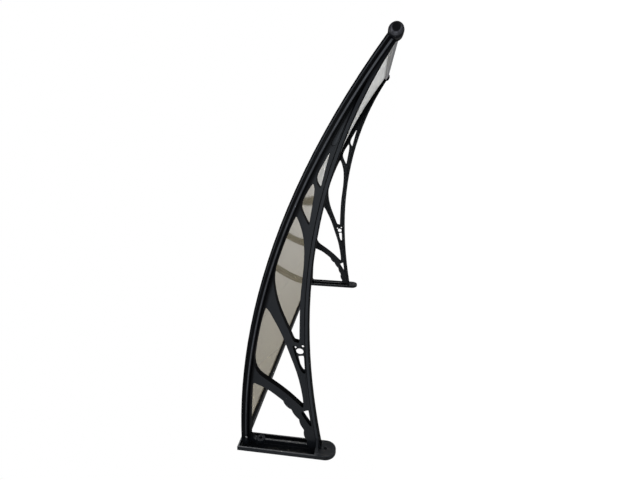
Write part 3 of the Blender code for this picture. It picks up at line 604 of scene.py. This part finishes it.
# %% [markdown]
# The front bar is drawn aluminium, and the screws are zinc plated steel that has gone dull. Faces
# that look down are duller, and a painted shade makes them darker still, on both.

# %% Metals
looking_down = (-0.3, -0.7)
painted_underside_shade, underside_roughness, metal_bump = 0.35, 0.2, 0.3


def drawn_metal(name, dark, light, edge, gloss, depth):
    """Metal between a dark and a light tint, with a grey for its grazing edge."""
    material, tree, shader = new_finish(name, Metallic=1.0)
    shader.inputs["Specular Tint"].default_value = (edge, edge, edge, 1.0)
    lines = place_group(tree, drawn)["Lines"]
    faces = three_parts(tree, "ShaderNodeNewGeometry", "Normal")
    downward = mapped(tree, faces["Z"], looking_down)
    # Painted shade: faces that look down get a darker copy of the tint.
    shaded = tuple(painted_underside_shade * part for part in dark)
    tint = blended(tree, downward, blended(tree, lines, dark, light), shaded)
    tree.links.new(tint, shader.inputs["Base Color"])
    roughness = mapped(tree, lines, usual_noise, gloss)
    dull = multiplied(tree, downward, underside_roughness)
    tree.links.new(calculate(tree, "ADD", roughness, dull), shader.inputs["Roughness"])
    bumped(tree, shader, lines, metal_bump, depth)
    print("Finish:", material.name)
    return material


aluminium = drawn_metal(
    "Satin aluminium",
    dark=(0.42, 0.42, 0.43),
    light=(0.54, 0.54, 0.55),
    edge=0.5,
    gloss=(0.54, 0.64),
    depth=0.00003,
)
steel = drawn_metal(
    "Zinc plated steel",
    dark=(0.09, 0.09, 0.10),
    light=(0.15, 0.15, 0.14),
    edge=0.4,
    gloss=(0.30, 0.42),
    depth=0.00001,
)

# %% [markdown]
# The seal is matt black rubber with a soft, uneven skin, coarser than the mouldings' grain.

# %% Rubber
dark_rubber, light_rubber = (0.012, 0.012, 0.012), (0.022, 0.022, 0.021)
rubber_dust, rubber_gloss = (0.14, 0.135, 0.125), (0.7, 0.88)
rubber, tree, shader = new_finish("Black rubber", Specular_IOR_Level=0.3)
surface = place_group(tree, grain, Grain_scale=900.0, Flow_scale=40.0)
film = place_group(tree, dust, Amount=0.25)["Mask"]
black = blended(tree, surface["Flow"], dark_rubber, light_rubber)
tree.links.new(blended(tree, film, black, rubber_dust), shader.inputs["Base Color"])
roughness = mapped(tree, surface["Flow"], usual_noise, rubber_gloss)
tree.links.new(roughness, shader.inputs["Roughness"])
bumped(tree, shader, surface["Height"], strength=0.2, distance=0.00003)
print("Finish:", rubber.name)

# %% [markdown]
# Smooth shading alone bends the light on a large flat face next to its rounded edges. Weighted
# normals let the large face decide, so the flat webs reflect as flat ones.

# %% Finishing a piece


def nothing_selected():
    """Deselect everything, because operators act on whatever is selected."""
    bpy.ops.object.select_all(action="DESELECT")


def work_on(piece):
    """Select one piece and make it the active one."""
    nothing_selected()
    piece.select_set(True)
    bpy.context.view_layer.objects.active = piece


def finish_piece(piece, node, material, smooth_angle=35):
    """Smooth shading, the finish, and the piece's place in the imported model."""
    work_on(piece)
    bpy.ops.object.shade_smooth_by_angle(angle=math.radians(smooth_angle))
    weighted = piece.modifiers.new("Flat faces stay flat", "WEIGHTED_NORMAL")
    weighted.keep_sharp = True
    bpy.ops.object.modifier_apply(modifier=weighted.name)
    piece.data.materials.clear()
    piece.data.materials.append(material)
    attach(piece, "root")
    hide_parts(node)
    print(piece.name, "has", len(piece.data.polygons), "faces")


def apply_bevel(piece, radius, steps, angle=40):
    """Round the edges that are sharper than an angle."""
    work_on(piece)
    bevel = piece.modifiers.new("Rounded edges", "BEVEL")
    bevel.width = radius
    bevel.segments = steps
    bevel.limit_method = "ANGLE"
    bevel.angle_limit = math.radians(angle)
    bevel.use_clamp_overlap = False
    bpy.ops.object.modifier_apply(modifier=bevel.name)


print("Pieces are ready to be finished")

# %% [markdown]
# The brackets are injection mouldings with every edge slightly rounded. Modelling all of their
# openings again would risk leaving the exact shape, so each piece starts as a copy of its packed
# mesh. The copy's loose triangles are merged, and a Bevel modifier rounds what is sharp. The cover
# strips, the rear rail and the rubber seal are made the same way, for the same reason.

# %% Rounded copies of the mouldings
merge_distance = 0.00001


def rounded_copy(node, name, radius, steps):
    """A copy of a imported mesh, merged and with its sharp edges rounded."""
    piece = bpy.data.objects.new(name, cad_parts[node].data.copy())
    bpy.context.collection.objects.link(piece)
    work_on(piece)
    if piece.data.has_custom_normals:
        bpy.ops.mesh.customdata_custom_splitnormals_clear()
    bpy.ops.object.mode_set(mode="EDIT")
    bpy.ops.mesh.select_all(action="SELECT")
    bpy.ops.mesh.remove_doubles(threshold=merge_distance)
    bpy.ops.object.mode_set(mode="OBJECT")
    apply_bevel(piece, radius, steps)
    return piece


for side in ("left", "right"):
    bracket = rounded_copy(f"bracket_{side}", f"{side}_bracket_moulding", radius=0.0004, steps=3)
    finish_piece(bracket, f"bracket_{side}", moulding)
    strip = rounded_copy(f"cover_strip_{side}", f"{side}_cover_strip", radius=0.0003, steps=3)
    finish_piece(strip, f"cover_strip_{side}", moulding)
rail = rounded_copy("rear_rail", "sheet_rear_rail", radius=0.0004, steps=2)
finish_piece(rail, "rear_rail", black_rail)
seal = rounded_copy("wall_seal", "wall_rubber_seal", radius=0.0003, steps=2)
finish_piece(seal, "wall_seal", rubber)

# %% [markdown]
# The other pieces are modelled by hand. Where a hand would click on faces, the code picks them by
# where they lie or which way they point. A finished piece must sit at the origin, unturned, so its
# place is applied to its mesh.

# %% Picking faces and placing pieces


def pick_faces(test):
    """Select the faces whose middle and normal pass the test, and nothing else."""
    bpy.ops.mesh.select_all(action="DESELECT")
    shape = bmesh.from_edit_mesh(bpy.context.object.data)
    for face in shape.faces:
        if test(face.calc_center_median(), face.normal):
            face.select_set(True)
    bmesh.update_edit_mesh(bpy.context.object.data)


def pick_top():
    """Select the faces that look up."""
    pick_faces(lambda middle, normal: normal.z > 0.9)


def pick_bottom():
    """Select the faces that look down."""
    pick_faces(lambda middle, normal: normal.z < -0.9)


def settled(piece, matrix):
    """Move a piece by a matrix and apply it, so that the object itself stays at the origin."""
    work_on(piece)
    piece.matrix_world = matrix @ piece.matrix_world
    bpy.ops.object.transform_apply(location=True, rotation=True, scale=True)


def outward_normals():
    """Turn all faces of the mesh in edit mode outwards."""
    bpy.ops.mesh.select_all(action="SELECT")
    bpy.ops.mesh.normals_make_consistent(inside=False)


print("Faces can be picked and pieces placed")

# %% [markdown]
# Most pieces lie along the curve of the sheet. So a place on the canopy is given by its station,
# which is the distance out from the wall along the curve, and by its height above the middle of
# the sheet. Both are turned into Y and Z where a piece is placed.

# %% Places along the curve
sheet_rear, sheet_front = 0.0193, 0.7938


def on_arc(station, height):
    """(y, z) of a place that is given by its station and its height."""
    angle = station / arc_radius
    radius = arc_radius + height
    return -radius * math.sin(angle), radius * math.cos(angle) - arc_radius


def at_station(x, station, height):
    """Placement with Z along the curve's outward normal."""
    y, z = on_arc(station, height)
    return Matrix.Translation((x, y, z)) @ Matrix.Rotation(station / arc_radius, 4, "X")


print("Front edge of the sheet at (y, z):", [round(v, 4) for v in on_arc(sheet_front, 0)])

# %% [markdown]
# The sheet is one arc. It could be bent with a modifier, but its section is so simple that a spin
# is more exact: a thin plane, as wide as the sheet and as tall as its thickness, is turned about
# the arc's axis in 96 steps. The spin operator turns clockwise, so its axis points to -X. The
# sheet's sawn and polished edges are then rounded a little.

# %% Polycarbonate sheet
sheet_half_width, sheet_thickness, sheet_steps = 0.3997, 0.003, 96
nothing_selected()
bpy.ops.mesh.primitive_plane_add(size=1)
sheet = bpy.context.object
sheet.name = "curved_clear_sheet"
stand_up = Matrix.Rotation(math.pi / 2, 4, "X")
size = Matrix.Diagonal((2 * sheet_half_width, sheet_thickness, 1, 1))
settled(sheet, at_station(0, sheet_rear, 0) @ stand_up @ size)
bpy.ops.object.mode_set(mode="EDIT")
bpy.ops.mesh.select_all(action="SELECT")
bpy.ops.mesh.spin(
    steps=sheet_steps,
    angle=(sheet_front - sheet_rear) / arc_radius,
    center=(0, 0, -arc_radius),
    axis=(-1, 0, 0),
)
outward_normals()
bpy.ops.object.mode_set(mode="OBJECT")
apply_bevel(sheet, radius=0.0004, steps=2, angle=60)
finish_piece(sheet, "polycarbonate_sheet", clear, smooth_angle=20)

# %% [markdown]
# The front bar is an extrusion with a slot for the sheet's front edge. Its section starts as a
# plane, three bisect cuts divide it, the cell that is the slot is deleted, and what is left is
# extruded along the bar. The bar is made lying on the X axis, with Y towards the wall. A matrix
# stands the plane up at the bar's left end: the plane's X becomes Y, and its Y becomes Z.

# %% Front bar
bar_length = 0.800
bar_back, bar_front, bar_half_height = 0.0075, -0.0042, 0.0055
slot_end, slot_low, slot_high = 0.0029, 0.0007, 0.0043
nothing_selected()
bpy.ops.mesh.primitive_plane_add(size=1)
bar = bpy.context.object
bar.name = "front_edge_bar"
section_plane = Matrix(
    (
        (0, 0, 1, -bar_length / 2),
        (bar_back - bar_front, 0, 0, (bar_back + bar_front) / 2),
        (0, 2 * bar_half_height, 0, 0),
        (0, 0, 0, 1),
    )
)
settled(bar, section_plane)
bpy.ops.object.mode_set(mode="EDIT")
slot_cuts = (
    ((0, slot_end, 0), (0, 1, 0)),
    ((0, 0, slot_low), (0, 0, 1)),
    ((0, 0, slot_high), (0, 0, 1)),
)
for place, normal in slot_cuts:
    bpy.ops.mesh.select_all(action="SELECT")
    bpy.ops.mesh.bisect(plane_co=place, plane_no=normal)
pick_faces(lambda middle, normal: middle.y > slot_end and slot_low < middle.z < slot_high)
bpy.ops.mesh.delete(type="FACE")
bpy.ops.mesh.select_all(action="SELECT")
bpy.ops.mesh.extrude_region_move(TRANSFORM_OT_translate={"value": (bar_length, 0, 0)})
outward_normals()
bpy.ops.object.mode_set(mode="OBJECT")
apply_bevel(bar, radius=0.0005, steps=3, angle=60)
print("Bar of", bar_length, "m with", len(bar.data.polygons), "faces before its holes")

# %% [markdown]
# Boolean modifiers cut the holes for the bar's two screws. Such a cut works like a drill, so the
# faces round a hole need no preparing. Then the bar is moved to the front edge of the sheet.

# %% Holes in the front bar
bar_station, bar_height = 0.797, -0.0025
bar_hole_radius, bar_hole_depth = 0.0021, 0.0093


def cut_away(piece, name, cutter):
    """Subtract a cutter from a piece and throw the cutter away."""
    work_on(piece)
    cut = piece.modifiers.new(name, "BOOLEAN")
    cut.operation = "DIFFERENCE"
    cut.solver = "EXACT"
    cut.object = cutter
    bpy.ops.object.modifier_apply(modifier=cut.name)
    bpy.data.objects.remove(cutter)


for side in (-1, 1):
    nothing_selected()
    bpy.ops.mesh.primitive_cylinder_add(
        vertices=24,
        radius=bar_hole_radius,
        depth=2 * bar_hole_depth,
        location=(side * bar_length / 2, 0, 0),
        rotation=(0, math.pi / 2, 0),
    )
    cut_away(bar, "Screw hole", bpy.context.object)
settled(bar, at_station(0, bar_station, bar_height))
finish_piece(bar, "front_bar", aluminium)

# %% [markdown]
# A tip cap is a shallow cup with a domed face. A short cylinder gives its skirt. The outer face is
# extruded nine times, each time a little less outward and a little narrower, which follows a
# quarter of an ellipse. The other face is inset by the wall's thickness and pushed in twice, the
# second time narrower, which hollows the cup.

# %% Pattern of the tip caps
cap_radius, cap_skirt, cap_dome, cap_flat, cap_wall = 0.0112, 0.0030, 0.0065, 0.0035, 0.002
dome_steps = 9


def push_face(distance, old_radius, new_radius):
    """Extrude the picked face along Z and bring its outline to another radius."""
    bpy.ops.mesh.extrude_region_move(TRANSFORM_OT_translate={"value": (0, 0, distance)})
    ratio = new_radius / old_radius
    bpy.ops.transform.resize(value=(ratio, ratio, 1), center_override=(0, 0, 0))


def quarter_dome(radius, flat, height, steps):
    """Turn the picked round face into a dome that ends in a small flat face."""
    before_radius, before_height = radius, 0.0
    for step in range(1, steps + 1):
        turn = math.pi / 2 * (1 - step / steps)
        now_radius = flat + (radius - flat) * math.sin(turn)
        now_height = height * math.cos(turn)
        push_face(now_height - before_height, before_radius, now_radius)
        before_radius, before_height = now_radius, now_height


nothing_selected()
bpy.ops.mesh.primitive_cylinder_add(
    vertices=64, radius=cap_radius, depth=cap_skirt, location=(0, 0, cap_skirt / 2)
)
cap_pattern = bpy.context.object
settled(cap_pattern, Matrix.Identity(4))
bpy.ops.object.mode_set(mode="EDIT")
pick_top()
quarter_dome(cap_radius, cap_flat, cap_dome, dome_steps)
pick_bottom()
bpy.ops.mesh.inset(thickness=cap_wall)
inner_radius = cap_radius - cap_wall
push_face(cap_skirt, inner_radius, inner_radius)
push_face(cap_dome - cap_wall, inner_radius, cap_flat + cap_wall)
outward_normals()
bpy.ops.object.mode_set(mode="OBJECT")
apply_bevel(cap_pattern, radius=0.0004, steps=3)
print("Cap pattern with", len(cap_pattern.data.polygons), "faces")

# %% [markdown]
# What repeats is modelled once and copied, each copy with its own mesh. The two caps look away
# from each other, over the ends of the bar.

# %% Tip caps
end_offset = 0.4128  # where the caps and the heads of the bar screws sit, from the middle
sides = {"left": -1, "right": 1}


def copy_to(pattern, name, matrix):
    """The same piece again, with its own mesh, at another place."""
    piece = bpy.data.objects.new(name, pattern.data.copy())
    bpy.context.collection.objects.link(piece)
    settled(piece, matrix)
    return piece


def sideways(side, x, station, height):
    """Placement with Z away from the middle, towards -X on the left and +X on the right."""
    y, z = on_arc(station, height)
    turn = Matrix.Rotation(side * math.pi / 2, 4, "Y")
    return Matrix.Translation((side * x, y, z)) @ turn


for name, side in sides.items():
    bar_end = sideways(side, end_offset, bar_station, bar_height)
    cap = copy_to(cap_pattern, f"{name}_tip_dome", bar_end)
    finish_piece(cap, f"tip_cap_{name}", smooth_cap)
bpy.data.objects.remove(cap_pattern)

# %% [markdown]
# The screws have cross recesses. A recess is cut by two tapered bars at right angles, and each bar
# is a cube whose lower end is drawn in. The screw's head is cut twice with the same bar.

# %% Cross recess
recess_taper = (0.35, 0.6, 1)


def cut_cross(screw, top, width, thickness, depth):
    """Cut a cross recess into a head whose face is at the height top."""
    for angle in (0, math.pi / 2):
        nothing_selected()
        bpy.ops.mesh.primitive_cube_add(size=1)
        cutter = bpy.context.object
        settled(cutter, Matrix.Diagonal((width, thickness, 2 * depth, 1)))
        bpy.ops.object.mode_set(mode="EDIT")
        pick_bottom()
        bpy.ops.transform.resize(value=recess_taper)
        bpy.ops.object.mode_set(mode="OBJECT")
        turn = Matrix.Rotation(angle, 4, "Z")
        settled(cutter, Matrix.Translation((0, 0, top)) @ turn)
        cut_away(screw, "Recess", cutter)


def new_shank(radius, length):
    """A round shank that ends at the origin, ready to be given a head."""
    nothing_selected()
    bpy.ops.mesh.primitive_cylinder_add(
        vertices=32, radius=radius, depth=length, location=(0, 0, -length / 2)
    )
    shank = bpy.context.object
    settled(shank, Matrix.Identity(4))
    return shank


print("Screws are ready to be made")

# %% [markdown]
# The strip screws are countersunk. The shank's upper face is drawn up and out to the cone, and the
# head's rim is rounded before the recess is cut. Screws that are driven by hand never end at one
# angle, so each one along the strip is turned further than the last.

# %% Strip screws
head_radius, shank_radius, strip_screw_length = 0.0034, 0.0018, 0.0097
cone = head_radius - shank_radius
countersunk = new_shank(shank_radius, strip_screw_length - cone)
bpy.ops.object.mode_set(mode="EDIT")
pick_top()
push_face(cone, shank_radius, head_radius)
bpy.ops.object.mode_set(mode="OBJECT")
settled(countersunk, Matrix.Translation((0, 0, -cone)))
apply_bevel(countersunk, radius=0.0002, steps=2, angle=50)
cut_cross(countersunk, top=0, width=0.0036, thickness=0.0009, depth=0.0012)
strip_rear, strip_front, strip_top, strip_offset = 0.0093, 0.7855, 0.0055, 0.40525
screw_count, screw_turn = 5, 0.4
space = (strip_front - strip_rear) / screw_count
for index in range(screw_count):
    station = strip_rear + space * (index + 0.5)
    turn = Matrix.Rotation(screw_turn * index, 4, "Z")
    for name, side in sides.items():
        screw_place = at_station(side * strip_offset, station, strip_top) @ turn
        screw = copy_to(countersunk, f"{name}_strip_fixing_{index + 1}", screw_place)
        finish_piece(screw, f"strip_screw_{index + 1}_{name}", steel)
bpy.data.objects.remove(countersunk)

# %% [markdown]
# The rail screws and the bar screws have domed heads. The upper face of the shank is first spread
# to the head's width at the same height, which makes the flat under the head, and then domed.

# %% Rail and bar screws
rail_offset, rail_station, rail_height = 0.4137, 0.0245, -0.0063
pan_steps = 6
crown, cross_width, cross_slot, cross_depth = 0.25, 1.1, 0.28, 0.6  # shares of the head


def pan_head(shank_radius, length, head_radius, head_height):
    """A screw with a domed head and a cross recess, its head's underside at the origin."""
    screw = new_shank(shank_radius, length)
    bpy.ops.object.mode_set(mode="EDIT")
    pick_top()
    push_face(0, shank_radius, head_radius)
    quarter_dome(head_radius, crown * head_radius, head_height, pan_steps)
    bpy.ops.object.mode_set(mode="OBJECT")
    cut_cross(
        screw,
        top=head_height,
        width=cross_width * head_radius,
        thickness=cross_slot * head_radius,
        depth=cross_depth * head_height,
    )
    return screw


rail_screw = pan_head(0.0014, length=0.0324, head_radius=0.0024, head_height=0.0015)
bar_screw = pan_head(0.0018, length=0.0215, head_radius=0.0034, head_height=0.0022)
for name, side in sides.items():
    rail_end = sideways(side, rail_offset, rail_station, rail_height)
    screw = copy_to(rail_screw, f"{name}_rail_fixing", rail_end)
    finish_piece(screw, f"rail_screw_{name}", steel)
    bar_end = sideways(side, end_offset, bar_station, bar_height)
    screw = copy_to(bar_screw, f"{name}_bar_fixing", bar_end)
    finish_piece(screw, f"bar_screw_{name}", steel)
for pattern in (rail_screw, bar_screw):
    bpy.data.objects.remove(pattern)
